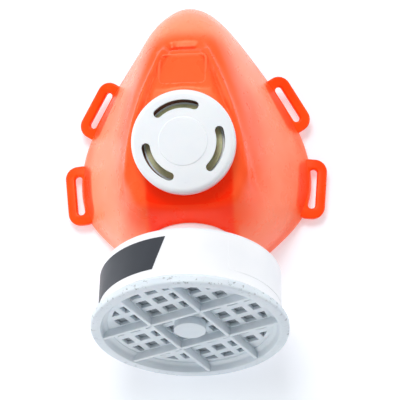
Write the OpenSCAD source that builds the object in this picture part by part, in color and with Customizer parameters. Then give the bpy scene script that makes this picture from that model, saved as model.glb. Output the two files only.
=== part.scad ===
// Half-mask respirator: elastomer facepiece, exhalation valve and one screw-on cartridge.
// The mask lies on its rim and on the heel of the cartridge, with the face opening down.
// +Z is up, +Y points to the nose and +X to the wearer's left.

/* [Facepiece] */
// Wall thickness at the valve and at the chin
wall_t = 2.4; // [2.2:0.1:2.8]
// Wall thickness at the free edge of the face seal
lip_t = 1.0; // [0.8:0.1:1.4]
// Points round each ring of the facepiece surface
ring_points = 72; // [48:4:72]
// Rows of the facepiece surface from the valve to the seal
row_points = 38; // [30:1:38]

/* [Exhalation valve] */
// Outer radius of the valve cover
cover_r = 23; // [22.6:0.1:23.4]
// Height of the valve cover above the facepiece
cover_h = 9.4; // [8.8:0.1:10]
// Tilt of the valve axis towards the chin
valve_tilt = 8; // [7:0.5:9]
// Number of spokes in the valve seats
spokes = 3; // [3:1:5]

/* [Cartridge] */
// Radius of the front lip
lip_r = 44; // [43:0.5:45]
// Radius of the cartridge body
can_r = 40.6; // [40:0.1:41]
// Length from the rear face to the front lip
can_len = 30; // [29:0.5:32]
// Rise of the cartridge axis above the horizontal
port_rise = 20; // [19:0.5:21]
// Turn of the grille bars about the cartridge axis
grille_turn = 26.6; // [0:0.1:45]

/* [Strap loops] */
// Length of the slot that the strap goes through
slot_len = 19; // [17:0.5:21]
// Width of the slot
slot_w = 3.4; // [3:0.1:3.6]
// Thickness of the loop
loop_t = 3; // [2.6:0.1:3.2]

/* [Hidden] */

$fn = 96;
eps = 0.01;
running_gap = 0.4;

// Distance from the datum of the points below to the middle of the mask's length
datum_y = 14;
// Height that brings the lowest point of the rim to the table
datum_z = -0.24;
valve_centre = [0, 24.8, 65.5];
can_centre = [0, -28.6, 38];

// Rings of the facepiece surface, from the valve opening to the free edge of the seal.
// Each holds nine points from the middle of the chin round the right side to the nose.
plateau_edge = [
    [0, -3.2, 61.6], [12, -3.2, 61.6], [22.5, -1, 62], [25, 11, 63.6], [25.5, 24, 65.4],
    [22.5, 40, 67.3], [17.5, 52, 66.8], [12.5, 66, 61.5], [0, 67.5, 61.2]
];
shoulder = [
    [0, -5.5, 57], [13, -5.5, 57], [26, -2.5, 56.5], [28.5, 11, 58], [28.8, 24, 59.5],
    [26, 42, 61.5], [20, 57, 61], [14, 74, 57], [0, 75, 57.5]
];
muzzle_wall = [
    [0, -10.5, 46.5], [17, -10.5, 46], [30, -7.5, 43.5], [32, 9, 43.5], [32.5, 24, 44.5],
    [29.5, 45, 48], [23, 64, 51], [15, 82, 52], [0, 84, 54.5]
];
muzzle_foot = [
    [0, -18.5, 26.5], [20, -18.5, 26], [36, -12, 25], [42.5, 7, 25], [42, 26, 26],
    [37, 49, 29], [26.5, 72, 36], [15.5, 90, 43.5], [0, 94, 48]
];
cheek = [
    [0, -25.5, 12], [22, -23, 11.5], [38, -10, 10], [51, 6, 9], [53, 26, 9],
    [44.5, 52, 12], [28, 78, 20], [14.5, 95, 30], [0, 101, 37]
];
rim = [
    [0, -30.5, 5], [21, -27, 4.5], [37.5, -12, 3.6], [55.5, 3, 3], [58.5, 27, 3],
    [49.3, 53, 6], [28.3, 80.5, 15], [14, 97, 26], [0, 102.5, 31]
];
rim_under = [
    [0, -27.5, 0.5], [20.5, -24.5, 0.2], [35.5, -10.5, -0.4], [51, 6, -0.8], [54, 26, -0.8],
    [45.5, 51.5, 2], [26.5, 77, 10], [13, 92, 20.5], [0, 97, 25]
];
seal = [
    [0, -20, 1.5], [18, -18, 1.5], [32, -7, 1.5], [43, 8, 1.5], [44.5, 26, 1.5],
    [36.5, 48, 4.5], [22, 70, 11.5], [11, 83, 20.5], [0, 88, 24.5]
];
seal_edge = [
    [0, -14, 4], [15, -12, 4], [27, -4, 4], [36, 9.5, 4], [38, 26, 4],
    [31.5, 46, 7], [19.5, 65, 14], [9.5, 76, 22], [0, 80, 25.5]
];

// Strap loops: place of the slot's middle, tilt about X and Y, and turn about Z
upper_loop_at = [44.8, 57.5, 9.5];
upper_loop_tilt = [14, 6];
upper_loop_turn = 33;
lower_loop_at = [55.7, 16.5, 5];
lower_loop_tilt = [0, 5];
lower_loop_turn = -5;
loop_out = 6.4;
loop_root = 8;
loop_bar = 5;
loop_corner = 6;

// Exhalation valve, measured from the outer face of the facepiece
opening_r = 18.2;
land_r = 22;
seat_r = 17.9;
seat_bore = 16.2;
seat_depth = wall_t + 1.5;
seat_top = 3.2;
flange_r = 20.9;
flange_low = 0.15;
flange_t = 1.5;
inner_flange_t = 1.4;
diaphragm_r = 17;
hub_r = 3.2;
hub_low = -0.4;
spoke_w = 2;
spoke_t = 1.8;
stem_r = 1.5;
stem_gap = 0.08;
push_gap = 0.08;
cover_low = 0.5;
cover_edge = 2.2;
cover_t = 1.6;
cover_disc_r = 0.46 * cover_r;
cover_disc_rise = 0.3;
vent_angles = [101, 218, 345];
vent_r = 0.72 * cover_r;
vent_w = 3.8;
vent_sweep = 60;

// Port, measured back from the rear face of the cartridge
port_r = 19.5;
waist_r = port_r - 0.1;
port_bore = 15.8;
port_deep = 21.4;
lock_t = 2.4;
lock_r = port_r + 4;
sleeve_r = port_r + 3.5;
port_cut = [-40, 20];
boss_z = -16.9;
boss_t = 1.9;
collar_r = 20.4;
collar_back = 13.8;
collar_z = 3.4;
seat_ring_r = 13.4;
seat_ring_h = 3;
seat_spoke_t = 1.5;
inlet_flap_r = 14.6;

// Cartridge
neck_r = 14.4;
neck_bore = 12;
neck_len = 12;
step_z = 2.4;
can_wall = 1.5;
can_round = 2;
cap_h = 5.6;
dish_r = 0.9 * lip_r;
dish_d = 4;
lip_h = 3.2;
plug_r = dish_r - 1.9;
lattice_t = 1.8;
rib_off = 0.285 * lip_r;
rib_w = 2.3;
hole_pitch = 0.19 * lip_r;
hole_w = 0.122 * lip_r;
hole_limit = 0.79 * lip_r;
boss_r = 0.163 * lip_r;
boss_h = 3.4;
// How far the ribs and the boss reach into the lattice, so that no faces coincide
sink = 0.5;
fill_r = can_r - can_wall - 0.3;
fill_z = [1.6, 2.9, 4.4, 17.4, 20.2, 21.5, 24.1];
fill_gap = 0.05;
screen_rings = 4;
screen_pitch = 8.2;
screen_hole = 5;
label_t = 0.2;
label_z = [2.2, 24];
panel_z = [4.6, 20];
panel_from = 105;
panel_to = 222;
panel_slant = 20;

// Colours
orange = [0.95, 0.36, 0.16];
deep_orange = [0.9, 0.27, 0.08];
white_plastic = [0.95, 0.96, 0.97];
grille_grey = [0.86, 0.89, 0.92];
cream = [0.85, 0.83, 0.66];
felt_white = [0.9, 0.91, 0.9];
carbon_black = [0.1, 0.1, 0.1];
panel_grey = [0.24, 0.26, 0.28];

// ---- Facepiece surface -------------------------------------------------------------------

// Blending weights of a uniform cubic B-spline
function weights(t) = [
    pow(1 - t, 3) / 6,
    (3 * pow(t, 3) - 6 * t * t + 4) / 6,
    (-3 * pow(t, 3) + 3 * t * t + 3 * t + 1) / 6,
    pow(t, 3) / 6
];

// A ring of the valve land: nine points of a circle on the valve's plane, chin to nose
function land_ring(r) = [
    for (j = [0:8])
        let (a = -90 + 22.5 * j, rr = r * 3 / (2 + cos(22.5)))
        valve_centre + [
            rr * cos(a),
            rr * sin(a) * cos(valve_tilt),
            rr * sin(a) * sin(valve_tilt)
        ]
];

// The nine points and their mirror images make a closed ring of sixteen
function whole(ring) = concat(ring, [for (j = [7:-1:1]) [-ring[j][0], ring[j][1], ring[j][2]]]);

half_rings = [
    land_ring(opening_r), land_ring(land_r), plateau_edge, shoulder, muzzle_wall, muzzle_foot,
    cheek, rim, rim_under, seal, seal_edge
];
inner_rings = [for (r = half_rings) whole(r)];
last = len(inner_rings) - 1;
rings = concat(
    [2 * inner_rings[0] - inner_rings[1]],
    inner_rings,
    [2 * inner_rings[last] - inner_rings[last - 1]]
);

// A point of the surface: u counts rings from the valve, v counts points round the ring
function row_at(u) =
    let (k = min(floor(u), last - 1), w = weights(u - k))
    w[0] * rings[k] + w[1] * rings[k + 1] + w[2] * rings[k + 2] + w[3] * rings[k + 3];
function on_row(row, v) =
    let (k = floor(v), w = weights(v - k))
    w[0] * row[(k + 15) % 16] + w[1] * row[k % 16] + w[2] * row[(k + 1) % 16]
        + w[3] * row[(k + 2) % 16];

surface = [
    for (i = [0:row_points])
        let (row = row_at(last * i / row_points))
        [for (j = [0:ring_points - 1]) on_row(row, 16 * j / ring_points)]
];

function unit(v) = v / norm(v);
function outward(i, j) =
    let (
        along = surface[min(i + 1, row_points)][j] - surface[max(i - 1, 0)][j],
        round_it = surface[i][(j + 1) % ring_points]
            - surface[i][(j + ring_points - 1) % ring_points]
    )
    unit(cross(along, round_it));
function thickness(i) = wall_t + (lip_t - wall_t) * pow(i / row_points, 1.5);
backing = [
    for (i = [0:row_points])
        [for (j = [0:ring_points - 1]) surface[i][j] - thickness(i) * outward(i, j)]
];

// Closed skin between the outer surface and the surface behind it
module skin() {
    rows = row_points + 1;
    count = rows * ring_points;
    points = [
        for (i = [0:row_points]) for (j = [0:ring_points - 1]) surface[i][j],
        for (i = [0:row_points]) for (j = [0:ring_points - 1]) backing[i][j]
    ];
    function at(i, j) = i * ring_points + j % ring_points;
    outer = [
        for (i = [0:row_points - 1]) for (j = [0:ring_points - 1])
            each [[at(i, j), at(i, j + 1), at(i + 1, j)],
                [at(i, j + 1), at(i + 1, j + 1), at(i + 1, j)]]
    ];
    inner = [for (f = outer) [f[0] + count, f[2] + count, f[1] + count]];
    edges = [
        for (j = [0:ring_points - 1])
            each [[at(0, j), at(0, j) + count, at(0, j + 1)],
                [at(0, j + 1), at(0, j) + count, at(0, j + 1) + count],
                [at(row_points, j), at(row_points, j + 1), at(row_points, j) + count],
                [at(row_points, j + 1), at(row_points, j + 1) + count,
                    at(row_points, j) + count]]
    ];
    polyhedron(points, concat(outer, inner, edges), convexity = 10);
}

// ---- Frames ------------------------------------------------------------------------------

module in_frame() {
    translate([0, -datum_y, datum_z]) children();
}

// Local z runs out along the valve axis from the outer face of the facepiece
module on_valve() {
    in_frame() translate(valve_centre) rotate([valve_tilt, 0, 0]) children();
}

// Local z runs out along the cartridge axis from the rear face of the cartridge
module port_place() {
    translate(can_centre) rotate([90 - port_rise, 0, 0]) children();
}

module on_port() {
    in_frame() port_place() children();
}

module tube(r_out, r_in, z_low, z_high) {
    translate([0, 0, z_low])
        difference() {
            cylinder(r = r_out, h = z_high - z_low);
            translate([0, 0, -1]) cylinder(r = r_in, h = z_high - z_low + 2);
        }
}

// ---- Shared shapes -----------------------------------------------------------------------

// A ring sector of the given mean radius and width, centred on an angle, with round ends
module arc_slot(mean_r, width, middle, sweep) {
    half = sweep / 2;
    reach = 2 * mean_r;
    intersection() {
        difference() {
            circle(r = mean_r + width / 2);
            circle(r = mean_r - width / 2);
        }
        polygon(concat(
            [[0, 0]],
            [for (a = [-half, 0, half]) reach * [cos(middle + a), sin(middle + a)]]
        ));
    }
    for (a = [-half, half])
        translate(mean_r * [cos(middle + a), sin(middle + a)]) circle(d = width);
}

// Straight bars from the middle out to a radius
module spoke_bars(reach, height) {
    for (k = [0:spokes - 1])
        rotate(90 + 360 * k / spokes)
            translate([0, -spoke_w / 2, 0]) cube([reach, spoke_w, height]);
}

// A rectangle with round corners
module rounded_plate(w, h, r) {
    square([w - 2 * r, h], center = true);
    square([w, h - 2 * r], center = true);
    for (x = [-1, 1]) for (y = [-1, 1])
        translate([x * (w / 2 - r), y * (h / 2 - r)]) circle(r = r);
}

// ---- Facepiece and strap loops -----------------------------------------------------------

module facepiece() {
    color(orange)
        in_frame()
            resize([0, 0, 0])
                difference() {
                    union() {
                        skin();
                        port_place() tube(sleeve_r, port_r, boss_z - boss_t, boss_z);
                    }
                    port_place()
                        translate([0, 0, port_cut[0]])
                            cylinder(r = port_r, h = port_cut[1] - port_cut[0]);
                }
}

// A flat loop for a strap, with its slot along local Y and its root towards -X
module strap_loop(tilt, turn, place) {
    color(deep_orange)
        in_frame()
            translate(place)
                rotate([tilt[0], tilt[1], turn])
                    translate([0, 0, -loop_t / 2])
                        linear_extrude(loop_t)
                            difference() {
                                translate([(loop_out - loop_root) / 2, 0])
                                    rounded_plate(
                                        loop_out + loop_root, slot_len + 2 * loop_bar, loop_corner
                                    );
                                rounded_plate(slot_w, slot_len, slot_w / 2 - 0.1);
                            }
}

module strap_loop_upper_right() {
    strap_loop(upper_loop_tilt, upper_loop_turn, upper_loop_at);
}

module strap_loop_upper_left() {
    mirror([1, 0, 0]) strap_loop(upper_loop_tilt, upper_loop_turn, upper_loop_at);
}

module strap_loop_lower_right() {
    strap_loop(lower_loop_tilt, lower_loop_turn, lower_loop_at);
}

module strap_loop_lower_left() {
    mirror([1, 0, 0]) strap_loop(lower_loop_tilt, lower_loop_turn, lower_loop_at);
}

// ---- Exhalation valve --------------------------------------------------------------------

// Barrel through the opening, with a flange on each side of the rubber and a spoked hub
module valve_seat() {
    color(white_plastic)
        on_valve() {
            difference() {
                union() {
                    translate([0, 0, -seat_depth]) cylinder(r = seat_r, h = seat_depth + seat_top);
                    translate([0, 0, flange_low]) cylinder(r = flange_r, h = flange_t);
                    translate([0, 0, -seat_depth]) cylinder(r = flange_r, h = inner_flange_t);
                }
                translate([0, 0, -seat_depth - 1]) cylinder(r = seat_bore, h = seat_depth + 9);
            }
            difference() {
                union() {
                    spoke_bars(seat_bore + 0.5, spoke_t);
                    translate([0, 0, hub_low]) cylinder(r = hub_r, h = spoke_t - hub_low);
                }
                translate([0, 0, -2]) cylinder(r = stem_r + stem_gap, h = 8);
            }
        }
}

// Soft disc that lifts off the seat; its barbed stem holds it to the hub
module exhalation_diaphragm() {
    rest = seat_top + 0.15;
    color(cream)
        on_valve()
            rotate_extrude()
                polygon([
                    [0, -4.6], [1, -4.6], [2.3, -3.4], [2.3, -2.8], [stem_r, -2.5],
                    [stem_r, 2.2], [3.4, 2.4], [diaphragm_r, rest], [diaphragm_r, rest + 0.6],
                    [3, 4], [0, 4]
                ]);
}

// Cap with three curved vents and a slightly raised middle
module valve_cover() {
    straight = cover_h - cover_edge - cover_low;
    color(white_plastic)
        on_valve()
            difference() {
                union() {
                    translate([0, 0, cover_low]) cylinder(r = cover_r, h = straight);
                    translate([0, 0, cover_h - cover_edge])
                        rotate_extrude() {
                            translate([0, -eps]) square([cover_r - cover_edge, cover_edge + eps]);
                            intersection() {
                                translate([cover_r - cover_edge, 0]) circle(r = cover_edge);
                                square(cover_r);
                            }
                        }
                    cylinder(r = cover_disc_r, h = cover_h + cover_disc_rise);
                }
                translate([0, 0, -1]) cylinder(r = flange_r + push_gap, h = cover_h - cover_t + 1);
                translate([0, 0, cover_h - 4])
                    linear_extrude(6)
                        for (middle = vent_angles) arc_slot(vent_r, vent_w, middle, vent_sweep);
            }
}

// ---- Port in the chin --------------------------------------------------------------------

// Collar through the chin; the wall of the facepiece grips its waist
module port_adapter() {
    color(white_plastic)
        on_port()
            difference() {
                union() {
                    translate([0, 0, -port_deep]) cylinder(r = waist_r, h = port_deep - collar_z);
                    translate([0, 0, -collar_back])
                        cylinder(r = collar_r, h = collar_back - collar_z);
                }
                translate([0, 0, -port_deep - 1]) cylinder(r = port_bore, h = port_deep + 2);
            }
}

module port_lock_ring() {
    color(white_plastic)
        on_port() tube(lock_r, waist_r, -port_deep, -port_deep + lock_t);
}

module inhalation_seat() {
    color(white_plastic)
        on_port()
            translate([0, 0, -port_deep]) {
                tube(port_bore - 0.05, seat_ring_r, 0, seat_ring_h);
                difference() {
                    union() {
                        translate([0, 0, 1]) spoke_bars(seat_ring_r + 1.2, seat_spoke_t);
                        translate([0, 0, 0.8]) cylinder(r = hub_r, h = 1.8);
                    }
                    translate([0, 0, -1]) cylinder(r = stem_r + stem_gap, h = 8);
                }
            }
}

// Thin disc that opens into the mask
module inhalation_diaphragm() {
    color(cream)
        on_port()
            translate([0, 0, -port_deep])
                rotate_extrude()
                    polygon([
                        [0, 6.2], [1, 6.2], [2.3, 5.1], [2.3, 4.8], [stem_r, 4.6],
                        [stem_r, -0.15], [inlet_flap_r, -0.15], [inlet_flap_r, -0.75], [0, -1]
                    ]);
}

// ---- Cartridge ---------------------------------------------------------------------------

module cartridge_gasket() {
    color(panel_grey)
        on_port() tube(collar_r - 1, neck_r + running_gap, -collar_z + 0.05, -step_z - 0.05);
}

// Cup that is open to the front, with a hollow neck to the rear
module cartridge_body() {
    color(white_plastic)
        on_port()
            difference() {
                union() {
                    rotate_extrude() {
                        square([can_r - can_round, can_round + eps]);
                        translate([0, can_round]) square([can_r, can_len - cap_h - can_round]);
                        intersection() {
                            translate([can_r - can_round, can_round]) circle(r = can_round);
                            square([can_r, can_round + eps]);
                        }
                    }
                    translate([0, 0, -step_z]) cylinder(r = collar_r, h = step_z + 1);
                    translate([0, 0, -neck_len]) cylinder(r = neck_r, h = neck_len + 1);
                }
                translate([0, 0, can_wall]) cylinder(r = can_r - can_wall, h = can_len);
                translate([0, 0, -neck_len - 1]) cylinder(r = neck_bore, h = neck_len + 4);
            }
}

// A round plate with rings of holes
module screen(z_low, z_high) {
    translate([0, 0, z_low + fill_gap])
        linear_extrude(z_high - z_low - fill_gap)
            difference() {
                circle(r = fill_r);
                for (ring = [1:screen_rings])
                    for (k = [0:6 * ring - 1])
                        rotate(60 * k / ring)
                            translate([screen_pitch * ring, 0]) circle(d = screen_hole, $fn = 24);
            }
}

module disc(r, z_low, z_high) {
    translate([0, 0, z_low + fill_gap]) cylinder(r = r, h = z_high - z_low - fill_gap);
}

module outlet_screen() {
    color(white_plastic) on_port() screen(fill_z[0], fill_z[1]);
}

module outlet_felt() {
    color(felt_white) on_port() disc(fill_r, fill_z[1], fill_z[2]);
}

module carbon_bed() {
    color(carbon_black) on_port() disc(fill_r, fill_z[2], fill_z[3]);
}

module dust_filter() {
    color(felt_white) on_port() disc(fill_r, fill_z[3], fill_z[4]);
}

module inlet_screen() {
    color(white_plastic) on_port() screen(fill_z[4], fill_z[5]);
}

module inlet_felt() {
    color(felt_white) on_port() disc(plug_r - 0.3, fill_z[5], fill_z[6]);
}

// Front cap: wide lip, dished wall, lattice, two pairs of ribs and a raised boss
module grille_cap() {
    color(grille_grey)
        on_port()
            translate([0, 0, can_len]) {
                rotate_extrude()
                    polygon([
                        [dish_r, 0], [lip_r - 0.6, 0], [lip_r, -0.6], [lip_r, -lip_h],
                        [can_r + 0.6, -cap_h + 0.6], [can_r + 0.6, -cap_h],
                        [can_r - can_wall - 0.1, -cap_h], [can_r - can_wall - 0.1, -cap_h - 1.4],
                        [plug_r, -cap_h - 1.4], [plug_r, -dish_d - sink], [dish_r - 3.6, -dish_d],
                        [dish_r - 2.2, -dish_d + 0.4], [dish_r - 1, -dish_d + 1.4],
                        [dish_r - 0.4, -dish_d + 2.8]
                    ]);
                rotate(grille_turn) {
                    translate([0, 0, -dish_d - lattice_t])
                        linear_extrude(lattice_t)
                            difference() {
                                circle(r = plug_r + 0.6);
                                lattice_holes();
                            }
                    for (turn = [0, 90]) for (side = [-1, 1]) rib(side, turn);
                }
                translate([0, 0, -dish_d - sink]) cylinder(r = boss_r, h = sink + boss_h);
            }
}

// One raised rib, off centre, that runs from wall to wall
module rib(side, turn) {
    reach = sqrt(pow(dish_r + 0.4, 2) - pow(rib_off + rib_w / 2, 2));
    rotate(turn)
        translate([side * rib_off - rib_w / 2, -reach, -dish_d - sink])
            cube([rib_w, 2 * reach, dish_d + 0.1]);
}

// Square holes on a grid, cut off at the edge of the lattice
module lattice_holes() {
    span = ceil(hole_limit / hole_pitch);
    intersection() {
        difference() {
            circle(r = hole_limit);
            circle(r = boss_r + 0.3);
        }
        union()
            for (i = [-span:span]) for (j = [-span:span])
                translate(hole_pitch * [i, j]) square(hole_w, center = true);
    }
}

// Thin band round the body
module cartridge_label() {
    color(white_plastic)
        on_port() tube(can_r + label_t, can_r, label_z[0], label_z[1]);
}

// A large block on one side of the plane Y = 0
module half_space(side) {
    reach = 100;
    translate([-reach, side > 0 ? 0 : -reach, -reach]) cube([2 * reach, reach, 2 * reach]);
}

// Dark panel on the label, with one slanted end
module label_panel() {
    middle = (panel_z[0] + panel_z[1]) / 2;
    color(panel_grey)
        on_port()
            intersection() {
                tube(can_r + 2 * label_t, can_r + label_t, panel_z[0], panel_z[1]);
                rotate(panel_from)
                    translate([0, 0, middle])
                        rotate([-panel_slant, 0, 0]) half_space(1);
                rotate(panel_to) half_space(-1);
            }
}

facepiece();
strap_loop_upper_right();
strap_loop_upper_left();
strap_loop_lower_right();
strap_loop_lower_left();
valve_seat();
exhalation_diaphragm();
valve_cover();
port_adapter();
port_lock_ring();
inhalation_seat();
inhalation_diaphragm();
cartridge_gasket();
cartridge_body();
outlet_screen();
outlet_felt();
carbon_bed();
dust_filter();
inlet_screen();
inlet_felt();
grille_cap();
cartridge_label();
label_panel();
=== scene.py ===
"""Half-mask respirator: an elastomer facepiece with an exhalation valve and one screw-on cartridge."""
import math

import bmesh
import bpy
import numpy as np
from mathutils import Matrix, Vector


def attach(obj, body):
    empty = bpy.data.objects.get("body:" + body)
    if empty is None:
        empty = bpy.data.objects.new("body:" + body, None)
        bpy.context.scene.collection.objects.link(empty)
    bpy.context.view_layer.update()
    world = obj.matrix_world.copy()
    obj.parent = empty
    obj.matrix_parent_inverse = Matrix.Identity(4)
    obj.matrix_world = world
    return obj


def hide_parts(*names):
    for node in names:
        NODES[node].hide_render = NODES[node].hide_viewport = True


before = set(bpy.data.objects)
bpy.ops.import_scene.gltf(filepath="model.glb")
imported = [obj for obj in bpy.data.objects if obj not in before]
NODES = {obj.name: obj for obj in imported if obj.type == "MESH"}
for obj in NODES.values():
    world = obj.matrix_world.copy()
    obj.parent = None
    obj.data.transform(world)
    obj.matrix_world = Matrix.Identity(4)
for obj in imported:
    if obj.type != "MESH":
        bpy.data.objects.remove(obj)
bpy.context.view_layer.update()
MM = 0.001

# ---- Frames, as the CAD part has them ------------------------------------------------------

DATUM = Vector((0, -14, -0.24)) * MM
VALVE_TILT = math.radians(8)
PORT_TURN = math.radians(70)
WORLD = Matrix.Identity(4)
VALVE_AT = (0, 24.8, 65.5)
PORT_AT = (0, -28.6, 38)
VALVE = Matrix.Translation(DATUM + Vector(VALVE_AT) * MM) @ Matrix.Rotation(VALVE_TILT, 4, "X")
PORT = Matrix.Translation(DATUM + Vector(PORT_AT) * MM) @ Matrix.Rotation(PORT_TURN, 4, "X")

# ---- Materials -----------------------------------------------------------------------------


class Nodes:
    """A material's node tree, with short calls that add and link nodes."""

    def __init__(self, name):
        self.material = bpy.data.materials.new(name)
        self.material.use_nodes = True
        self.tree = self.material.node_tree
        self.shader = self.tree.nodes["Principled BSDF"]
        self.place = self.add("ShaderNodeTexCoord").outputs["Object"]

    def add(self, kind, **settings):
        node = self.tree.nodes.new(kind)
        for key, value in settings.items():
            setattr(node, key, value)
        return node

    def put(self, socket, value):
        if isinstance(value, bpy.types.NodeSocket):
            self.tree.links.new(value, socket)
        elif isinstance(value, tuple) and len(value) == 3 and socket.type == "RGBA":
            socket.default_value = (*value, 1)
        else:
            socket.default_value = value

    def set(self, **values):
        for key, value in values.items():
            self.put(self.shader.inputs[key.replace("_", " ")], value)

    def noise(self, scale, detail=3.0, rough=0.55, stretch=None, kind="ShaderNodeTexNoise"):
        node = self.add(kind)
        place = self.place
        if stretch:
            mapping = self.add("ShaderNodeMapping")
            self.put(mapping.inputs["Vector"], place)
            mapping.inputs["Scale"].default_value = stretch
            place = mapping.outputs["Vector"]
        self.put(node.inputs["Vector"], place)
        node.inputs["Scale"].default_value = scale
        if "Detail" in node.inputs:
            node.inputs["Detail"].default_value = detail
            node.inputs["Roughness"].default_value = rough
        return node.outputs["Distance" if kind == "ShaderNodeTexVoronoi" else "Fac"]

    def between(self, value, low, high, out_low=0.0, out_high=1.0):
        node = self.add("ShaderNodeMapRange", interpolation_type="SMOOTHSTEP")
        for socket, number in zip(list(node.inputs)[:5], (value, low, high, out_low, out_high)):
            self.put(socket, number)
        return node.outputs["Result"]

    def math(self, operation, a, b=0.0):
        node = self.add("ShaderNodeMath", operation=operation)
        self.put(node.inputs[0], a)
        self.put(node.inputs[1], b)
        return node.outputs["Value"]

    def mix(self, share, a, b):
        node = self.add("ShaderNodeMix", data_type="RGBA")
        self.put(node.inputs["Factor"], share)
        self.put(node.inputs[6], a)
        self.put(node.inputs[7], b)
        return node.outputs[2]

    def attribute(self, name):
        return self.add("ShaderNodeAttribute", attribute_name=name).outputs["Fac"]

    def bump(self, *layers):
        """Each layer is (height, distance in metres)."""
        normal = None
        for height, distance in layers:
            node = self.add("ShaderNodeBump")
            node.inputs["Distance"].default_value = distance
            node.inputs["Strength"].default_value = 1.0
            self.put(node.inputs["Height"], height)
            if normal is not None:
                self.put(node.inputs["Normal"], normal)
            normal = node.outputs["Normal"]
        self.put(self.shader.inputs["Normal"], normal)


def srgb(r, g, b):
    """A colour given as a screen shows it, 0 to 255, in the shader's linear units."""
    shown = (r / 255, g / 255, b / 255)
    return tuple(c / 12.92 if c <= 0.04045 else ((c + 0.055) / 1.055) ** 2.4 for c in shown)


def elastomer(name, backed=True):
    """Glossy translucent rubber: pale where it is thin, saturated where it is thick or backed; its depth
    attribute also holds painted shade and painted highlight.
    """
    n = Nodes(name)
    # The pale colour also serves as painted highlight and the deep ones as painted shade, wherever the depth
    # attribute puts them.
    thin, mid, thick = srgb(255, 152, 114), srgb(255, 98, 48), srgb(255, 38, 0)
    cloud = n.noise(38, 2.0)
    if backed:
        depth = n.math("ADD", n.attribute("depth"), n.between(cloud, 0.3, 0.7, -0.05, 0.05))
        colour = n.mix(n.between(depth, 0.0, 0.5), thin, mid)
        colour = n.mix(n.between(depth, 0.5, 1.0), colour, thick)
    else:
        colour = n.mix(n.between(cloud, 0.3, 0.7), srgb(253, 66, 4), srgb(254, 82, 16))
    grain = n.noise(900, 4.0)
    flow = n.noise(70, 2.0, stretch=(1.0, 0.35, 0.35))
    n.set(Base_Color=colour, Roughness=n.between(n.noise(120), 0.3, 0.7, 0.26, 0.33))
    n.set(Subsurface_Weight=0.15, Subsurface_Scale=0.003, Specular_IOR_Level=0.5)
    # A faint orange glow: painted light for the light that shines through the rubber, on the skin and the
    # loops alike.
    n.set(Emission_Color=(1.0, 0.03, 0.0), Emission_Strength=0.16)
    n.set(Specular_Tint=(1.0, 0.5, 0.3))
    n.shader.inputs["Subsurface Radius"].default_value = (1.0, 0.35, 0.15)
    n.bump((grain, 0.000006), (flow, 0.0003))
    return n.material


def plastic(name, colour, shade, rough, scuffs=0.0):
    """Moulded plastic with a fine grain and faint clouding, and scuffs where the mesh says that it wears."""
    n = Nodes(name)
    cloud = n.between(n.noise(45, 3.0), 0.35, 0.7)
    base = n.mix(cloud, colour, shade)
    if scuffs:
        spots = n.between(n.noise(420, 5.0, 0.7), 0.56, 0.66)
        worn = n.math("MULTIPLY", n.math("MULTIPLY", spots, n.attribute("wear")), scuffs)
        base = n.mix(worn, base, srgb(120, 122, 124))
    grain = n.noise(1400, 3.0)
    marks = n.noise(160, 4.0, 0.65, stretch=(1, 4, 1))
    n.set(Base_Color=base, Roughness=n.between(marks, 0.3, 0.7, rough - 0.05, rough + 0.08))
    n.set(IOR=1.49, Subsurface_Weight=0.06, Subsurface_Scale=0.002)
    n.bump((grain, 0.00002), (marks, 0.00004))
    return n.material


def fibrous(name, colour, shade):
    """Needled felt: crossed fibres and small tufts."""
    n = Nodes(name)
    along = n.noise(900, 4.0, 0.7, stretch=(1, 0.12, 0.3))
    across = n.noise(900, 4.0, 0.7, stretch=(0.12, 1, 0.3))
    tufts = n.noise(260, 3.0)
    fibres = n.math("MAXIMUM", along, across)
    n.set(Base_Color=n.mix(n.between(fibres, 0.45, 0.75), shade, colour), Roughness=0.95)
    n.set(Sheen_Weight=0.3)
    n.bump((tufts, 0.0004), (fibres, 0.00025))
    return n.material


def granules(name):
    """Bed of activated carbon grains."""
    n = Nodes(name)
    cells = n.noise(900, kind="ShaderNodeTexVoronoi")
    n.set(Base_Color=n.mix(n.between(cells, 0.1, 0.6), srgb(62, 62, 64), srgb(18, 18, 19)), Roughness=0.7)
    n.bump((cells, 0.0008))
    return n.material


def silicone(name, colour, shade):
    """Soft valve rubber with a dusting of talc."""
    n = Nodes(name)
    talc = n.noise(300, 4.0, 0.65)
    n.set(Base_Color=n.mix(n.between(talc, 0.4, 0.7), colour, shade), Roughness=0.55)
    n.set(Subsurface_Weight=0.2, Subsurface_Scale=0.0015)
    n.bump((talc, 0.00004))
    return n.material


def film(name, colour, shade, rough):
    """Printed label film, with the paper's faint ripple."""
    n = Nodes(name)
    ripple = n.noise(55, 2.0)
    grain = n.noise(700, 3.0)
    n.set(Base_Color=n.mix(n.between(ripple, 0.3, 0.7), colour, shade))
    n.set(Roughness=n.between(ripple, 0.3, 0.7, rough - 0.02, rough + 0.04))
    n.set(Coat_Weight=0.2, Coat_Roughness=0.25)
    n.bump((grain, 0.000003), (ripple, 0.00008))
    return n.material


SKIN = elastomer("facepiece_rubber")
LOOP = elastomer("loop_rubber", backed=False)
COVER = plastic("cover_plastic", srgb(244, 246, 248), srgb(239, 243, 247), 0.32)
WHITE = plastic("white_plastic", srgb(240, 242, 245), srgb(234, 237, 241), 0.38)
BODY = plastic("cartridge_plastic", srgb(243, 245, 247), srgb(236, 240, 244), 0.36)
GRILLE = plastic("grille_plastic", srgb(232, 239, 244), srgb(222, 231, 238), 0.34, scuffs=0.7)
FLAP = silicone("valve_silicone", srgb(222, 219, 172), srgb(206, 204, 160))
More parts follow.
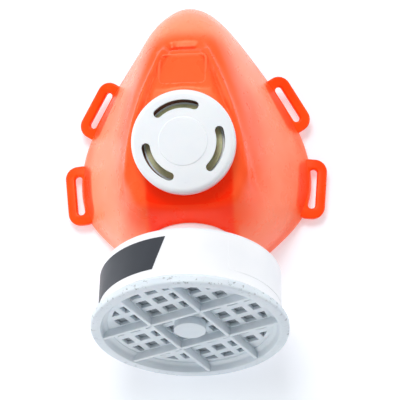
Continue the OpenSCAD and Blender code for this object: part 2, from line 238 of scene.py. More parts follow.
# Dark brown for the ring of rubber round the valve seat: painted shade under the cover.
LIP_SHADE = silicone("valve_lip_painted_shade", srgb(142, 92, 70), srgb(124, 80, 60))
GASKET = silicone("gasket_rubber", srgb(70, 72, 74), srgb(52, 54, 56))
FELT = fibrous("felt", srgb(196, 203, 208), srgb(140, 150, 158))
CARBON = granules("carbon_grains")
LABEL = film("label_film", srgb(250, 250, 252), srgb(246, 247, 250), 0.3)
DARK_LABEL = film("label_dark_film", srgb(44, 49, 58), srgb(38, 43, 52), 0.5)


# ---- Mesh helpers --------------------------------------------------------------------------


def piece(name, mesh, material, body, place=WORLD, angle=35):
    """A finished piece: a mesh in millimetres in its own frame, put in place, smoothed and ridden."""
    mesh.transform(Matrix.Scale(MM, 4))
    mesh.transform(place)
    mesh.materials.clear()
    mesh.materials.append(material)
    obj = bpy.data.objects.new(name, mesh)
    bpy.context.scene.collection.objects.link(obj)
    mesh.shade_smooth()
    mesh.set_sharp_from_angle(angle=math.radians(angle))
    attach(obj, body)
    return obj


def soften(obj, width, angle):
    """Rounds the edges that are sharper than an angle in degrees; the width is in millimetres."""
    bevel = obj.modifiers.new("edges", "BEVEL")
    bevel.width, bevel.segments = width * MM, 3
    bevel.limit_method, bevel.angle_limit = "ANGLE", math.radians(angle)


def from_lists(name, points, faces):
    mesh = bpy.data.meshes.new(name)
    mesh.from_pydata([tuple(p) for p in points], [], [tuple(f) for f in faces])
    mesh.validate()
    return mesh


def joined(name, *meshes):
    """One mesh that holds several."""
    bm = bmesh.new()
    for mesh in meshes:
        bm.from_mesh(mesh)
    out = bpy.data.meshes.new(name)
    bm.to_mesh(out)
    bm.free()
    return out


def outward(mesh):
    """The same mesh with its faces turned outwards."""
    bm = bmesh.new()
    bm.from_mesh(mesh)
    bmesh.ops.recalc_face_normals(bm, faces=bm.faces)
    bm.to_mesh(mesh)
    bm.free()
    return mesh


def store(mesh, name, values):
    """A number for each vertex, which a material can read."""
    attribute = mesh.attributes.new(name, "FLOAT", "POINT")
    attribute.data.foreach_set("value", np.asarray(values, np.float32))


def cut(mesh, cutter):
    """One closed mesh less another, by the exact boolean."""
    scene = bpy.context.scene.collection
    a, b = bpy.data.objects.new("a", mesh), bpy.data.objects.new("b", cutter)
    scene.objects.link(a)
    scene.objects.link(b)
    boolean = a.modifiers.new("cut", "BOOLEAN")
    boolean.operation, boolean.object, boolean.solver = "DIFFERENCE", b, "EXACT"
    out = bpy.data.meshes.new_from_object(a.evaluated_get(bpy.context.evaluated_depsgraph_get()))
    bpy.data.objects.remove(a)
    bpy.data.objects.remove(b)
    return out


def rounded(corners, steps=6):
    """A closed outline from corners (x, y, radius), each rounded by its own radius."""
    out = []
    count = len(corners)
    for i, (x, y, radius) in enumerate(corners):
        p = Vector((x, y))
        before = (Vector(corners[i - 1][:2]) - p).normalized()
        after = (Vector(corners[(i + 1) % count][:2]) - p).normalized()
        if radius <= 0:
            out.append((x, y))
            continue
        half = before.angle(after) / 2
        centre = p + (before + after).normalized() * radius / math.sin(half)
        start, end = p + before * radius / math.tan(half), p + after * radius / math.tan(half)
        a0 = math.atan2(*(start - centre).yx)
        sweep = (math.atan2(*(end - centre).yx) - a0 + math.pi) % (2 * math.pi) - math.pi
        for k in range(steps + 1):
            a = a0 + sweep * k / steps
            out.append((centre.x + radius * math.cos(a), centre.y + radius * math.sin(a)))
    return out


def lathe(name, profile, segments=192):
    """A closed profile of (radius, height) turned about Z."""
    rows = len(profile)
    points = [
        (r * math.cos(a), r * math.sin(a), z)
        for a in (2 * math.pi * k / segments for k in range(segments))
        for r, z in profile
    ]
    faces = [
        (k * rows + i, ((k + 1) % segments) * rows + i, ((k + 1) % segments) * rows + (i + 1) % rows,
         k * rows + (i + 1) % rows)
        for k in range(segments)
        for i in range(rows)
    ]
    bm = bmesh.new()
    verts = [bm.verts.new(p) for p in points]
    for f in faces:
        bm.faces.new([verts[i] for i in f])
    bmesh.ops.remove_doubles(bm, verts=bm.verts, dist=1e-5)
    bmesh.ops.recalc_face_normals(bm, faces=bm.faces)
    mesh = bpy.data.meshes.new(name)
    bm.to_mesh(mesh)
    bm.free()
    return mesh


def area(loop):
    return sum(a[0] * b[1] - b[0] * a[1] for a, b in zip(loop, loop[1:] + loop[:1])) / 2


def plate(name, outline, holes, low, high, edge, steps=2):
    """A flat plate from height low to high, with holes and rounded edges."""
    curve = bpy.data.curves.new(name, "CURVE")
    curve.dimensions, curve.fill_mode = "2D", "BOTH"
    for loop, sign in [(outline, 1)] + [(h, -1) for h in holes]:
        loop = loop if area(loop) * sign > 0 else loop[::-1]
        spline = curve.splines.new("POLY")
        spline.points.add(len(loop) - 1)
        for point, (x, y) in zip(spline.points, loop):
            point.co = (x, y, 0, 1)
        spline.use_cyclic_u = True
    curve.extrude = (high - low) / 2 - edge
    curve.bevel_depth, curve.bevel_resolution, curve.offset = edge, steps, -edge
    obj = bpy.data.objects.new(name, curve)
    bpy.context.scene.collection.objects.link(obj)
    mesh = bpy.data.meshes.new_from_object(obj.evaluated_get(bpy.context.evaluated_depsgraph_get()))
    bpy.data.objects.remove(obj)
    bm = bmesh.new()
    bm.from_mesh(mesh)
    bmesh.ops.remove_doubles(bm, verts=bm.verts, dist=1e-4)
    bmesh.ops.recalc_face_normals(bm, faces=bm.faces)
    bm.to_mesh(mesh)
    bm.free()
    mesh.transform(Matrix.Translation((0, 0, (low + high) / 2)))
    return mesh


def circle(radius, count=160):
    return [
        (radius * math.cos(2 * math.pi * k / count), radius * math.sin(2 * math.pi * k / count))
        for k in range(count)
    ]


def rectangle(left, right, low, high, corner):
    corners = ((left, low), (right, low), (right, high), (left, high))
    return rounded([(x, y, corner) for x, y in corners], 10)


def arc(centre, radius, start, end, steps):
    """Points along an arc, without its two ends."""
    angles = [start + (end - start) * k / steps for k in range(1, steps)]
    return [(centre[0] + radius * math.cos(a), centre[1] + radius * math.sin(a)) for a in angles]


def arc_outline(mean, width, middle, sweep, steps=28, ends=10):
    """Outline of a curved slot with round ends."""
    half = width / 2
    a, b = math.radians(middle - sweep / 2), math.radians(middle + sweep / 2)

    def at(radius, angle):
        return (radius * math.cos(angle), radius * math.sin(angle))

    outer = [at(mean + half, a)] + arc((0, 0), mean + half, a, b, steps) + [at(mean + half, b)]
    inner = [at(mean - half, b)] + arc((0, 0), mean - half, b, a, steps) + [at(mean - half, a)]
    far = arc(at(mean, b), half, b, b + math.pi, ends)
    near = arc(at(mean, a), half, a + math.pi, a + 2 * math.pi, ends)
    return outer + far + inner + near


def prism(name, outline, low, high):
    count = len(outline)
    points = [(x, y, low) for x, y in outline] + [(x, y, high) for x, y in outline]
    faces = [tuple(range(count))[::-1], tuple(range(count, 2 * count))]
    faces += [(i, (i + 1) % count, count + (i + 1) % count, count + i) for i in range(count)]
    return from_lists(name, points, faces)


def ridge(name, radius, depth, pitch, turns, start_z, width, steps=72):
    """A right-hand thread on a cylinder. A negative depth points inwards, for a nut."""
    total = int(turns * steps)
    sunk, run_out = 0.3, steps * 0.12
    rows = []
    for k in range(total + 1):
        a = 2 * math.pi * k / steps
        z = start_z + pitch * k / steps
        fade = min(1.0, k / run_out, (total - k) / run_out)
        root = radius - math.copysign(sunk, depth)
        crest = radius + depth * max(fade, 0.02)
        rows.append([
            (root, z - width / 2), (crest, z - width / 5), (crest, z + width / 5), (root, z + width / 2), a
        ])
    points = [(r * math.cos(row[4]), r * math.sin(row[4]), z) for row in rows for r, z in row[:4]]
    faces = [
        (4 * k + i, 4 * k + (i + 1) % 4, 4 * k + 4 + (i + 1) % 4, 4 * k + 4 + i)
        for k in range(total)
        for i in range(4)
    ]
    faces += [(3, 2, 1, 0), tuple(4 * total + i for i in range(4))]
    return outward(from_lists(name, points, faces))


# ---- Facepiece -----------------------------------------------------------------------------

OPENING_R, LAND_R = 18.2, 22.0
WALL_T, LIP_T = 2.4, 1.0
PORT_R, SLEEVE_R, SLEEVE_Z = 19.5, 23.0, (-18.8, -16.9)
VALVE_LIP_R, VALVE_LIP_Z = (17.95, 20.85), (1.7, 2.5)
ROWS, ROUND = 150, 288
# Colour depth of the badge's bead, kept low so that it shows paler (a painted highlight), and how much deeper
# the inside is than the outside
BEAD_HIGHLIGHT_DEPTH, INSIDE_DEEPER = 0.34, 0.2

# Nine points of each ring, from the middle of the chin round the right side to the nose
RINGS = [
    [(0, -3.2, 61.6), (12, -3.2, 61.6), (22.5, -1, 62), (25, 11, 63.6), (25.5, 24, 65.4),
     (22.5, 40, 67.3), (17.5, 52, 66.8), (12.5, 66, 61.5), (0, 67.5, 61.2)],
    [(0, -5.5, 57), (13, -5.5, 57), (26, -2.5, 56.5), (28.5, 11, 58), (28.8, 24, 59.5),
     (26, 42, 61.5), (20, 57, 61), (14, 74, 57), (0, 75, 57.5)],
    [(0, -10.5, 46.5), (17, -10.5, 46), (30, -7.5, 43.5), (32, 9, 43.5), (32.5, 24, 44.5),
     (29.5, 45, 48), (23, 64, 51), (15, 82, 52), (0, 84, 54.5)],
    [(0, -18.5, 26.5), (20, -18.5, 26), (36, -12, 25), (42.5, 7, 25), (42, 26, 26),
     (37, 49, 29), (26.5, 72, 36), (15.5, 90, 43.5), (0, 94, 48)],
    [(0, -25.5, 12), (22, -23, 11.5), (38, -10, 10), (51, 6, 9), (53, 26, 9),
     (44.5, 52, 12), (28, 78, 20), (14.5, 95, 30), (0, 101, 37)],
    [(0, -30.5, 5), (21, -27, 4.5), (37.5, -12, 3.6), (55.5, 3, 3), (58.5, 27, 3),
     (49.3, 53, 6), (28.3, 80.5, 15), (14, 97, 26), (0, 102.5, 31)],
    [(0, -27.5, 0.5), (20.5, -24.5, 0.2), (35.5, -10.5, -0.4), (51, 6, -0.8), (54, 26, -0.8),
     (45.5, 51.5, 2), (26.5, 77, 10), (13, 92, 20.5), (0, 97, 25)],
    [(0, -20, 1.5), (18, -18, 1.5), (32, -7, 1.5), (43, 8, 1.5), (44.5, 26, 1.5),
     (36.5, 48, 4.5), (22, 70, 11.5), (11, 83, 20.5), (0, 88, 24.5)],
    [(0, -14, 4), (15, -12, 4), (27, -4, 4), (36, 9.5, 4), (38, 26, 4),
     (31.5, 46, 7), (19.5, 65, 14), (9.5, 76, 22), (0, 80, 25.5)],
]

# Strap loops: the slot's middle, then the tilt about X and Y and the turn about Z, in degrees
LOOPS = {
    "upper": ((44.8, 57.5, 9.5), (14, 6, 33)),
    "lower": ((55.7, 16.5, 5), (0, 5, -5)),
}
LOOP_OUT, LOOP_ROOT, LOOP_BAR, LOOP_CORNER, LOOP_T = 6.4, 8.0, 5.0, 6.0, 3.0
SLOT_LEN, SLOT_W = 19.0, 3.4


def loop_turn(turns):
    tilt_x, tilt_y, turn = (math.radians(t) for t in turns)
    return Matrix.Rotation(turn, 4, "Z") @ Matrix.Rotation(tilt_y, 4, "Y") @ Matrix.Rotation(tilt_x, 4, "X")


def land_ring(radius):
    """Nine points of a circle round the valve, on the valve's plane."""
    reach = radius * 3 / (2 + math.cos(math.radians(22.5)))
    c, s = math.cos(VALVE_TILT), math.sin(VALVE_TILT)
    ring = []
    for j in range(9):
        a = math.radians(-90 + 22.5 * j)
        ring.append(np.array(VALVE_AT) + reach * np.array((math.cos(a), math.sin(a) * c, math.sin(a) * s)))
    return ring


def net():
    """Every ring mirrored to sixteen points, with one ring more beyond each end."""
    half = [np.array(r, float) for r in [land_ring(OPENING_R), land_ring(LAND_R)] + RINGS]
    whole = [np.vstack([r, r[7:0:-1] * (-1, 1, 1)]) for r in half]
    return np.array([2 * whole[0] - whole[1]] + whole + [2 * whole[-1] - whole[-2]])


def weights(t):
    return np.stack([(1 - t) ** 3, 3 * t**3 - 6 * t * t + 4, -3 * t**3 + 3 * t * t + 3 * t + 1, t**3], -1) / 6


NET = net()
LAST = len(NET) - 3


def surface(u, v):
    """Points of the outer surface: u counts rings from the valve, v points round the ring."""
    ku = np.minimum(np.floor(u).astype(int), LAST - 1)
    wu = weights(u - ku)
    rows = sum(wu[:, a, None, None] * NET[ku + a] for a in range(4))
    kv = np.floor(v).astype(int)
    wv = weights(v - kv)
    return sum(wv[None, :, b, None] * rows[:, (kv + b - 1) % 16] for b in range(4))


def normals(grid):
    """Outward unit normals of a grid that closes round its second axis."""
    along = np.gradient(grid, axis=0)
    round_it = np.roll(grid, -1, 1) - np.roll(grid, 1, 1)
    n = np.cross(along, round_it)
    return n / np.linalg.norm(n, axis=2, keepdims=True)


def smooth(x, low, high):
    t = np.clip((x - low) / (high - low), 0, 1)
    return t * t * (3 - 2 * t)


def bell(x, middle, width):
    return np.exp(-(((x - middle) / width) ** 2))


# The folds beside the valve run from the chin to the nose and bow towards the middle. Each has
# its half-width at the foot, its lean, its height and its breadth.
FOLD_FOOT_Y, FOLD_BOW = 8.0, 0.0028
RIDGE = (27.0, 0.10, 1.4, 1.6)
INNER_GROOVE = (24.5, 0.09, -1.3, 1.3)
OUTER_GROOVE = (31.5, 0.135, -1.0, 1.9)


def fold(shape, x, y):
    """Height of one fold over the plain surface."""
    foot_x, lean, height, breadth = shape
    t = y - FOLD_FOOT_Y
    across = np.abs(x) - (foot_x - lean * t - FOLD_BOW * t * t)
    return height * bell(across / np.sqrt(1 + (lean + 2 * FOLD_BOW * t) ** 2), 0, breadth)


BADGE_AT, BADGE_HALF, BADGE_CORNER, BADGE_H = (-0.8, 60.0), (10.6, 7.8), 2.4, 0.45
PAD_TOP, PAD_H, DENT_H = 70, 0.6, 1.5


def in_badge(x, y):
    """Distance inside the badge's rounded outline."""
    dx = np.abs(x - BADGE_AT[0]) - (BADGE_HALF[0] - BADGE_CORNER)
    dy = np.abs(y - BADGE_AT[1]) - (BADGE_HALF[1] - BADGE_CORNER)
    outside = np.hypot(np.maximum(dx, 0), np.maximum(dy, 0)) + np.minimum(np.maximum(dx, dy), 0)
    return BADGE_CORNER - outside


def relief(grid, u):
    """Height of the moulded details over the plain surface, in millimetres."""
    x, y = grid[..., 0], grid[..., 1]
    front = 1 - smooth(u[:, None], 5, 5.6)
    ends = smooth(y, 4, 14) * (1 - smooth(y, 68, 76))
    folds = fold(RIDGE, x, y) + fold(OUTER_GROOVE, x, y) + fold(INNER_GROOVE, x, y) * smooth(y, 32, 38)
    flare = 0.1 * (PAD_TOP - y)
    pad = (1 - smooth(np.abs(x - BADGE_AT[0]), 11.4 + flare, 13 + flare)) * smooth(y, 46, 50)
    height = folds * ends + PAD_H * pad * (1 - smooth(y, PAD_TOP, PAD_TOP + 1.4))
    height -= DENT_H * (1 - smooth(np.abs(x + 1), 5, 9)) * bell(y, 72.8, 2.2)
    height -= BADGE_H * smooth(in_badge(x, y), 0, 0.8)
    clear_of_cover = smooth(np.hypot(x - VALVE_AT[0], y - VALVE_AT[1]), 23.3, 25.5)
    return height * front * clear_of_cover


def under_loops(grid):
    """1 where a strap loop lies behind the skin."""
    covered = np.zeros(grid.shape[:2])
    for at, turns in LOOPS.values():
        for side in (1, -1):
            local = (grid * (side, 1, 1) - np.array(at)) @ np.array(loop_turn(turns).to_3x3())
            x, y = local[..., 0], np.abs(local[..., 1])
            dx = np.abs(x + (LOOP_ROOT - LOOP_OUT) / 2) - ((LOOP_ROOT + LOOP_OUT) / 2 - LOOP_CORNER)
            dy = y - (SLOT_LEN / 2 + LOOP_BAR - LOOP_CORNER)
            plate_at = LOOP_CORNER - np.hypot(np.maximum(dx, 0), np.maximum(dy, 0))
            in_slot = (1 - smooth(np.abs(x), 1.2, 2.2)) * (1 - smooth(y, 8.5, 10))
            near = 1 - smooth(np.abs(local[..., 2]), 7, 10)
            covered = np.maximum(covered, smooth(plate_at, -0.3, 1.2) * (1 - 0.75 * in_slot) * near)
    return covered


def depth_with_painted_light(grid, u):
    """How deep the rubber's colour is, 0 on the thin cheeks and 1 under the valve: partly the rubber's
    thickness, partly painted shade and painted highlight.
    """
    x, y = grid[..., 0], grid[..., 1]
    uu = u[:, None]
    # Deep round the valve: thicker rubber, with painted shade in the band outside the shoulder; deeper again
    # towards the rim.
    depth = 0.06 + 0.38 * (1 - smooth(uu, 3.0, 5.0)) + 0.15 * smooth(uu, 5.6, 6.4)
    # Painted shade: the right cheek is made deeper than the left, which the left lamp lights more.
    depth = depth + 0.14 * smooth(x, 10, 30) * (1 - smooth(y, 40, 70))
    depth = np.maximum(depth, 0.55 * (1 - smooth(uu, 2.2, 3.0)))
    # Deepest on the chin and the bib under the valve: thick rubber there, and painted shade under the cover.
    middle = 1 - smooth(np.abs(x - 1.5), 17.5, 23.5)
    chin = middle * (1 - smooth(y, 2, 12)) * (1 - smooth(uu, 6, 7.5))
    bib = middle * (1 - smooth(y, 12, 26)) * (1 - smooth(uu, 1.85, 2.2))
    depth = np.maximum(depth, 0.86 * chin)
    depth = np.maximum(depth, bib)
    # Painted shade in the dent above the badge.
    depth = np.maximum(depth, 0.8 * bell(y, 72.6, 2.6) * (1 - smooth(np.abs(x + 1), 5, 9.5)))
    # Paler towards the nose: a painted highlight on the bridge.
    depth = depth * (1 - 0.75 * smooth(y, 74, 86))
    # Deeper where the strap loops lie behind the skin: double rubber there, and painted shade.
    return np.maximum(depth, 0.72 * under_loops(grid))


def facepiece():
    u = LAST * (np.arange(ROWS + 1) / ROWS)
    v = 16 * np.arange(ROUND) / ROUND
    grid = surface(u, v)
    n = normals(grid)
    thickness = WALL_T + (LIP_T - WALL_T) * (u / LAST) ** 1.5
    outer = grid + relief(grid, u)[..., None] * n
    inner = grid - thickness[:, None, None] * n
    count = (ROWS + 1) * ROUND
    i, j = np.meshgrid(np.arange(ROWS), np.arange(ROUND), indexing="ij")
    i, j = i.ravel(), j.ravel()
    k = (j + 1) % ROUND
    front = np.stack([i * ROUND + j, i * ROUND + k, (i + 1) * ROUND + k, (i + 1) * ROUND + j], 1)
    back = front[:, ::-1] + count
    j = np.arange(ROUND)
    k = (j + 1) % ROUND
    top = np.stack([j, j + count, k + count, k], 1)
    end = ROWS * ROUND
    bottom = np.stack([end + j, end + k, end + k + count, end + j + count], 1)
    points = np.vstack([outer.reshape(-1, 3), inner.reshape(-1, 3)])
    mesh = from_lists("facepiece_shell", points, np.vstack([front, back, top, bottom]).tolist())
    depth = depth_with_painted_light(grid, u).ravel()
    store(mesh, "depth", np.concatenate([depth, np.minimum(depth + INSIDE_DEEPER, 1)]))
    port = Matrix.Translation(PORT_AT) @ Matrix.Rotation(PORT_TURN, 4, "X")
    hole = prism("hole", circle(PORT_R, 192), -40, 10)
    hole.transform(port)
    mesh = cut(mesh, hole)
    low, high = SLEEVE_Z
    wall = rounded([(PORT_R, low, 0.3), (SLEEVE_R, low, 0.6), (SLEEVE_R, high, 0.6), (PORT_R, high, 0)])
    sleeve = lathe("sleeve", wall)
    sleeve.transform(port)
    mesh = joined("facepiece_shell", mesh, sleeve)
    mesh.transform(Matrix.Translation(DATUM / MM))
    shell = piece("facepiece_shell", mesh, SKIN, "facepiece_group", angle=50)
    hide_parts("facepiece")
    badge_frame(grid, n)
    # A ring of the facepiece's rubber round the valve seat, dark brown: painted shade of the rubber under the
    # cover's vents.
    (inside, outside), (low, high) = VALVE_LIP_R, VALVE_LIP_Z
    lip = rounded([(inside, low, 0), (outside, low, 0), (outside, high, 0.3), (inside, high, 0.3)], 4)
    piece("valve_lip", lathe("lip", lip), LIP_SHADE, "facepiece_group", VALVE)


def on_skin(grid, n, x, y):
    """The point of the outer surface over a place in plan, and its normal."""
    front = grid[: ROWS * 2 // 5].reshape(-1, 3)
    k = np.argmin((front[:, 0] - x) ** 2 + (front[:, 1] - y) ** 2)
    p, m = front[k], n[: ROWS * 2 // 5].reshape(-1, 3)[k]
    z = p[2] - (m[0] * (x - p[0]) + m[1] * (y - p[1])) / m[2]
    return np.array((x, y, z)), m


def badge_frame(grid, n):
    """A thin raised bead round a blank badge above the valve."""
    half, height, sides = 0.7, 0.7, 10
    path = rectangle(-BADGE_HALF[0], BADGE_HALF[0], -BADGE_HALF[1], BADGE_HALF[1], BADGE_CORNER)
    loop = []
    for (ax, ay), (bx, by) in zip(path, path[1:] + path[:1]):
        steps = max(1, round(math.hypot(bx - ax, by - ay) / 0.6))
        loop += [(ax + (bx - ax) * k / steps, ay + (by - ay) * k / steps) for k in range(steps)]
    rows = [on_skin(grid, n, x + BADGE_AT[0], y + BADGE_AT[1]) for x, y in loop]
    count = len(rows)
    points, faces = [], []
    for k, (p, m) in enumerate(rows):
        ahead = rows[(k + 1) % count][0] - rows[k - 1][0]
        across = np.cross(ahead, m)
        across /= np.linalg.norm(across)
        for i in range(sides):
            a = 2 * math.pi * i / sides
            points.append(p + across * half * math.cos(a) + m * (height * math.sin(a) - 0.12))
        faces += [
            (k * sides + i, k * sides + (i + 1) % sides, (k + 1) % count * sides + (i + 1) % sides,
             (k + 1) % count * sides + i)
            for i in range(sides)
        ]
    mesh = outward(from_lists("badge", points, faces))
    # The bead gets a pale colour: a painted highlight along it.
    store(mesh, "depth", np.full(len(points), BEAD_HIGHLIGHT_DEPTH))
    mesh.transform(Matrix.Translation(DATUM / MM))
    piece("badge_frame", mesh, SKIN, "facepiece_group", angle=80)


# ---- Strap loops ---------------------------------------------------------------------------


def strap_loop(level, side):
    at, turns = LOOPS[level]
    half = SLOT_LEN / 2 + LOOP_BAR
    mesh = plate(
        "loop", rectangle(-LOOP_ROOT, LOOP_OUT, -half, half, LOOP_CORNER),
        [rectangle(-SLOT_W / 2, SLOT_W / 2, -SLOT_LEN / 2, SLOT_LEN / 2, SLOT_W / 2 - 0.1)],
        -LOOP_T / 2, LOOP_T / 2, 0.9, 4,
    )
    mesh.transform(Matrix.Translation(DATUM / MM + Vector(at)) @ loop_turn(turns))
    if side == "left":
        mesh.transform(Matrix.Diagonal((-1, 1, 1, 1)))
        mesh.flip_normals()
    name = f"strap_loop_{level}_{side}"
    obj = piece(f"{name}_moulded", mesh, LOOP, "facepiece_group", angle=60)
    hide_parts(name)


# ---- Exhalation valve ----------------------------------------------------------------------

COVER_R, COVER_LOW, COVER_H, COVER_T = 23.0, 0.5, 9.4, 1.6
COVER_BORE = 20.98
COVER_EDGE = 2.2
COVER_DISC_R = 0.46 * COVER_R
VENT_ANGLES, VENT_SWEEP = (101, 218, 345), 60
VENT_R, VENT_W = 0.72 * COVER_R, 3.8


def valve_cover():
    profile = rounded([
        (0, COVER_H - COVER_T, 0), (0, COVER_H + 0.3, 0), (COVER_DISC_R, COVER_H + 0.3, 0.25),
        (COVER_DISC_R + 0.35, COVER_H, 0.2), (COVER_R, COVER_H, COVER_EDGE), (COVER_R, COVER_LOW, 0.5),
        (COVER_BORE, COVER_LOW, 0.3), (COVER_BORE, COVER_H - COVER_T, 0.6),
    ], 8)
    mesh = lathe("cover", profile)
    for middle in VENT_ANGLES:
        mesh = cut(mesh, prism("vent", arc_outline(VENT_R, VENT_W, middle, VENT_SWEEP), 4, 14))
    obj = piece("valve_cover_cap", mesh, COVER, "cover", VALVE)
    soften(obj, 0.35, 50)
    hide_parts("valve_cover")


# ---- Cartridge -----------------------------------------------------------------------------

LIP_R, CAN_R, CAN_LEN, CAN_WALL = 44.0, 40.6, 30.0, 1.5
CAP_H, LIP_H, DISH_D = 5.6, 3.2, 4.0
DISH_R = 0.9 * LIP_R
PLUG_R = DISH_R - 1.9
LATTICE_T = 1.8
RIB_OFF, RIB_W = 0.285 * LIP_R, 2.0
HOLE_PITCH, HOLE_W, HOLE_LIMIT = 0.19 * LIP_R, 0.122 * LIP_R, 0.79 * LIP_R
BOSS_R = 0.163 * LIP_R
GRILLE_TURN = math.radians(26.6)
NECK_R, NECK_BORE, NECK_LEN = 14.4, 12.0, 12.0
PORT_BORE = 15.8
COLLAR_R, STEP_Z = 20.4, 2.4
THREAD_PITCH, THREAD_TURNS, THREAD_DEPTH, THREAD_W, THREAD_LOW = 4.0, 1.6, 0.9, 1.6, -10.6


def cartridge_body():
    inner = CAN_R - CAN_WALL
    profile = rounded([
        (NECK_BORE, CAN_WALL, 0.4), (NECK_BORE, -NECK_LEN, 0.5), (NECK_R, -NECK_LEN, 0.6),
        (NECK_R, -STEP_Z, 0.3), (COLLAR_R, -STEP_Z, 0.5), (COLLAR_R, 0, 0.4), (CAN_R, 0, 2.0),
        (CAN_R, CAN_LEN - CAP_H, 0), (inner, CAN_LEN - CAP_H, 0), (inner, CAN_WALL, 0.6),
    ])
    thread = ridge("male", NECK_R, THREAD_DEPTH, THREAD_PITCH, THREAD_TURNS, THREAD_LOW, THREAD_W)
    obj = piece("cartridge_shell", joined("shell", lathe("body", profile, 256), thread), BODY, "cartridge",
                PORT)
    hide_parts("cartridge_body")


def clipped(square, radius, count=120):
    """The part of a convex outline inside a circle."""
    loop = square
    edges = circle(radius, count)
    for a, b in zip(edges, edges[1:] + edges[:1]):
        out = []
        for p, q in zip(loop, loop[1:] + loop[:1]):
            sp, sq = ((b[0] - a[0]) * (t[1] - a[1]) - (b[1] - a[1]) * (t[0] - a[0]) for t in (p, q))
            if sp >= 0:
                out.append(p)
            if sp * sq < 0:
                k = sp / (sp - sq)
                out.append((p[0] + (q[0] - p[0]) * k, p[1] + (q[1] - p[1]) * k))
        loop = out
        if not loop:
            return []
    return loop


def grille_holes():
    half = HOLE_W / 2
    span = math.ceil(HOLE_LIMIT / HOLE_PITCH)
    holes = []
    for i in range(-span, span + 1):
        for j in range(-span, span + 1):
            x, y = HOLE_PITCH * i, HOLE_PITCH * j
            if (i, j) == (0, 0):
                continue
            corners = ((x - half, y - half), (x + half, y - half), (x + half, y + half), (x - half, y + half))
            square = rounded([(a, b, 0.35) for a, b in corners], 2)
            if math.hypot(abs(x) + half, abs(y) + half) > HOLE_LIMIT:
                square = clipped(square, HOLE_LIMIT)
            if len(square) > 2 and abs(area(square)) > 1.2:
                holes.append(square)
    return holes


def rib(side, turn):
    """A raised rib with soft edges, from wall to wall."""
    reach = math.sqrt((DISH_R + 0.4) ** 2 - (RIB_OFF + RIB_W / 2) ** 2)
    top, foot = -0.4, -DISH_D - 0.6
    outline = rounded([(-RIB_W / 2, foot, 0), (RIB_W / 2, foot, 0), (RIB_W / 2 - 0.15, top, 0.45),
                       (-RIB_W / 2 + 0.15, top, 0.45)], 4)
    mesh = prism("rib", outline, -reach, reach)
    upright = Matrix.Rotation(math.pi / 2, 4, "X")
    mesh.transform(Matrix.Rotation(turn, 4, "Z") @ Matrix.Translation((side * RIB_OFF, 0, 0)) @ upright)
    return mesh


def grille_cap():
    plug_top = CAN_R - CAN_WALL - 0.1
    rim_profile = rounded([
        (DISH_R, 0, 0.5), (LIP_R, 0, 0.9), (LIP_R, -LIP_H, 0.8), (CAN_R + 0.6, -CAP_H + 0.6, 0.4),
        (CAN_R + 0.6, -CAP_H, 0.2), (plug_top, -CAP_H, 0.1), (plug_top, -CAP_H - 1.4, 0.3),
        (PLUG_R, -CAP_H - 1.4, 0.3), (PLUG_R, -DISH_D - 0.9, 0), (DISH_R - 3.6, -DISH_D, 0.5),
        (DISH_R - 0.9, -DISH_D + 1.2, 1.6),
    ])
    lattice = plate("lattice", circle(PLUG_R + 0.5), grille_holes(), -DISH_D - LATTICE_T, -DISH_D, 0.15)
    ribs = [rib(side, turn) for side in (-1, 1) for turn in (0, math.pi / 2)]
    turned = joined("turned", lattice, *ribs)
    turned.transform(Matrix.Rotation(GRILLE_TURN, 4, "Z"))
    low, high = -DISH_D - 0.5, -0.6
    boss = lathe("boss", rounded([(0, low, 0), (BOSS_R, low, 0), (BOSS_R, high, 0.4), (0, high, 0)]))
    mesh = joined("cap", lathe("rim", rim_profile, 256), turned, boss)
    wear = [smooth(math.hypot(p.co.x, p.co.y), LIP_R - 1.6, LIP_R - 0.3) for p in mesh.vertices]
    store(mesh, "wear", wear)
    mesh.transform(Matrix.Translation((0, 0, CAN_LEN)))
    obj = piece("grille_cap_moulded", mesh, GRILLE, "cartridge", PORT)
    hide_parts("grille_cap")


def sticker():
    """A blank second label, stuck over the first one."""
    low, high, thick = 3.9, 19.4, 0.16
    start, end, steps = math.radians(8), math.radians(61.8), 60
    base = CAN_R + 0.2
    points, faces = [], []
    for k in range(steps + 1):
        a = start + (end - start) * k / steps
        for r, z in ((base, low), (base + thick, low), (base + thick, high), (base, high)):
            points.append((r * math.cos(a), r * math.sin(a), z))
    for k in range(steps):
        faces += [(4 * k + i, 4 * k + 4 + i, 4 * k + 4 + (i + 1) % 4, 4 * k + (i + 1) % 4) for i in range(4)]
    faces += [(0, 1, 2, 3), tuple(4 * steps + i for i in (3, 2, 1, 0))]
    piece("second_label", from_lists("sticker", points, faces), LABEL, "cartridge", PORT)


def port_thread():
    """Female thread inside the port, half a pitch away from the cartridge's own."""
    low = THREAD_LOW - THREAD_PITCH / 2
    mesh = ridge("female", PORT_BORE + 0.05, -THREAD_DEPTH, THREAD_PITCH, THREAD_TURNS, low, THREAD_W)
    piece("port_thread", mesh, WHITE, "facepiece_group", PORT)


# ---- CAD nodes that stay -------------------------------------------------------------------

KEPT = {
    "valve_seat": WHITE, "exhalation_diaphragm": FLAP, "port_adapter": WHITE, "port_lock_ring": WHITE,
    "inhalation_seat": WHITE, "inhalation_diaphragm": FLAP, "cartridge_gasket": GASKET,
    "outlet_screen": WHITE, "outlet_felt": FELT, "carbon_bed": CARBON, "dust_filter": FELT,
    "inlet_screen": WHITE, "inlet_felt": FELT,
    "cartridge_label": LABEL, "label_panel": DARK_LABEL,
}
ROUNDED = {"valve_seat": 0.3, "port_adapter": 0.5, "port_lock_ring": 0.4, "inhalation_seat": 0.25}


def kept_nodes():
    for name, material in KEPT.items():
        obj = NODES[name]
        obj.data.materials.clear()
        obj.data.materials.append(material)
        if name in ROUNDED:
            weld = obj.modifiers.new("weld", "WELD")
            weld.merge_threshold = 0.005 * MM
            soften(obj, ROUNDED[name], 40)


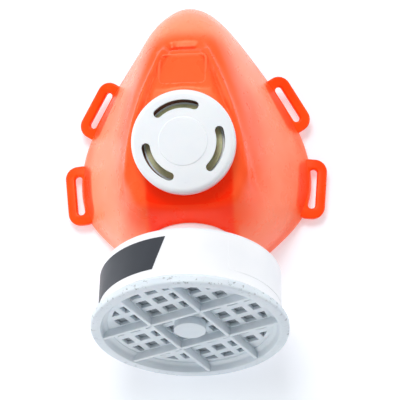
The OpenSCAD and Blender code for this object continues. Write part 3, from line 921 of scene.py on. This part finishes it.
# ---- Camera, floor and light ---------------------------------------------------------------


def camera():
    """From above the chin, turned a little to the right and rolled a little."""
    rise, yaw, roll = (math.radians(a) for a in (77, 4.2, 1.7))
    right = Vector((math.cos(yaw), math.sin(yaw) * math.cos(rise), -math.sin(yaw) * math.sin(rise)))
    up = Vector((0, math.sin(rise), math.cos(rise)))
    back = right.cross(up)
    right, up = math.cos(roll) * right - math.sin(roll) * up, math.sin(roll) * right + math.cos(roll) * up
    target = Vector((0, -0.014, 0.0616)) + 0.0062 * right
    data = bpy.data.cameras.new("camera")
    data.lens, data.sensor_width, data.clip_start = 142.7, 36, 0.01
    obj = bpy.data.objects.new("camera", data)
    facing = Matrix((right, up, back)).transposed().to_4x4()
    obj.matrix_world = Matrix.Translation(target + 0.7 * back) @ facing
    bpy.context.scene.collection.objects.link(obj)
    bpy.context.scene.camera = obj


def floor():
    size, low = 3.0, -0.00006
    corners = ((-size, -size), (size, -size), (size, size), (-size, size))
    mesh = from_lists("floor", [(x, y, low) for x, y in corners], [(0, 1, 2, 3)])
    obj = bpy.data.objects.new("floor", mesh)
    bpy.context.scene.collection.objects.link(obj)
    n = Nodes("floor_paper")
    mottle = n.between(n.noise(3, 2.0), 0.3, 0.7)
    n.set(Base_Color=n.mix(mottle, srgb(222, 227, 233), srgb(226, 230, 236)), Roughness=0.7)
    n.set(Emission_Color=(0.94, 0.97, 1.0), Emission_Strength=0.34)
    mesh.materials.append(n.material)


def light(name, place, target, power, size):
    data = bpy.data.lights.new(name, "AREA")
    data.energy, data.size = power, size
    obj = bpy.data.objects.new(name, data)
    obj.location = place
    obj.rotation_euler = (Vector(target) - Vector(place)).to_track_quat("-Z", "Y").to_euler()
    bpy.context.scene.collection.objects.link(obj)


def studio():
    scene = bpy.context.scene
    scene.view_settings.view_transform = "Standard"
    world = bpy.data.worlds.new("studio")
    scene.world = world
    world.use_nodes = True
    tree = world.node_tree
    direction = tree.nodes.new("ShaderNodeTexCoord").outputs["Generated"]
    axes = tree.nodes.new("ShaderNodeSeparateXYZ")
    tree.links.new(direction, axes.inputs[0])
    fade = tree.nodes.new("ShaderNodeMapRange")
    tree.links.new(axes.outputs["Y"], fade.inputs["Value"])
    for name, value in (("From Min", -0.9), ("From Max", 0.3), ("To Min", 0.16), ("To Max", 0.46)):
        fade.inputs[name].default_value = value
    tree.links.new(fade.outputs["Result"], tree.nodes["Background"].inputs["Strength"])
    tree.nodes["Background"].inputs["Color"].default_value = (0.94, 0.97, 1.0, 1)
    light("key", (-0.1, 0.5, 1.0), (0, 0, 0.03), 6.2, 0.42)
    light("left", (-0.85, 0.15, 0.4), (0, 0, 0.04), 2.6, 0.5)
    light("front", (-0.35, -0.9, 0.22), (0, 0, 0.04), 2.6, 0.4)
    light("right", (0.85, 0.1, 0.5), (0, 0, 0.04), 2.0, 0.5)


facepiece()
for level in LOOPS:
    for side in ("right", "left"):
        strap_loop(level, side)
valve_cover()
cartridge_body()
grille_cap()
sticker()
port_thread()
kept_nodes()
camera()
floor()
studio()
